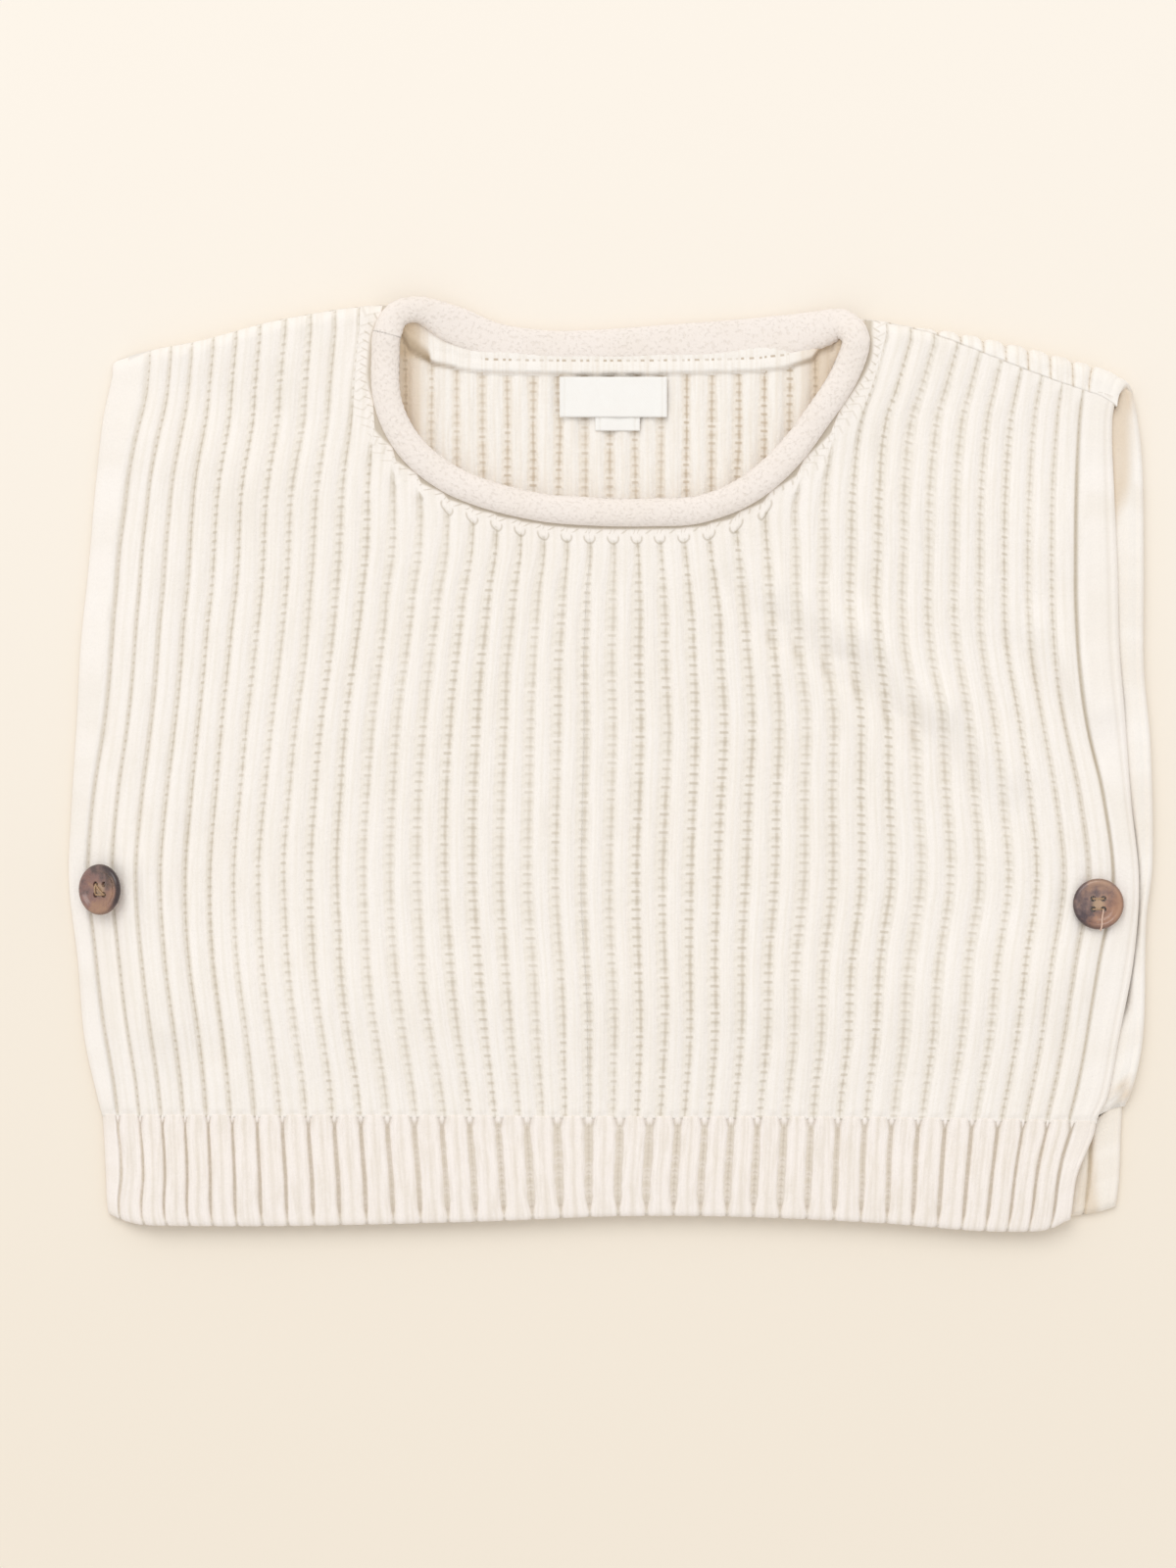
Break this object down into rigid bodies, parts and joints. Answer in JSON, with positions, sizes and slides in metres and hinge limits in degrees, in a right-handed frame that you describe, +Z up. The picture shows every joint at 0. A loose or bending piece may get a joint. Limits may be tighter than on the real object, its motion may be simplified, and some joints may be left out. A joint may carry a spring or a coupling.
{
  "type": "baby sweater",
  "caption": "Sleeveless chunky rib knit baby sweater with open buttoned sides, rolled neckband and ribbed hems, laid flat front up.",
  "frame": {"origin": "bottom centre of the box round the laid garment, on the surface that it lies on", "axes": "+X to the right as it lies with its front up, +Y from the hem to the neck, +Z up from the surface"},
  "size_m": [0.355, 0.3054, 0.0138],
  "materials": {
    "rib_knit": "soft chunky cotton half-cardigan rib, matt with a fine fibre nap",
    "hem_knit": "soft cotton, fine wales grouped in wide ribs, matt",
    "neck_knit": "soft cotton stockinette, rolled on itself, matt",
    "label_tape": "smooth woven tape, blank",
    "button": "mottled brown horn-look resin, satin gloss"
  },
  "bodies": {
    "root": {"back_body": "rib_knit", "back_hem": "hem_knit", "front_body": "rib_knit", "front_hem": "hem_knit", "neckband": "neck_knit", "label_main": "label_tape", "label_size": "label_tape", "button_left": "button", "button_right": "button"}
  },
  "joints": []
}
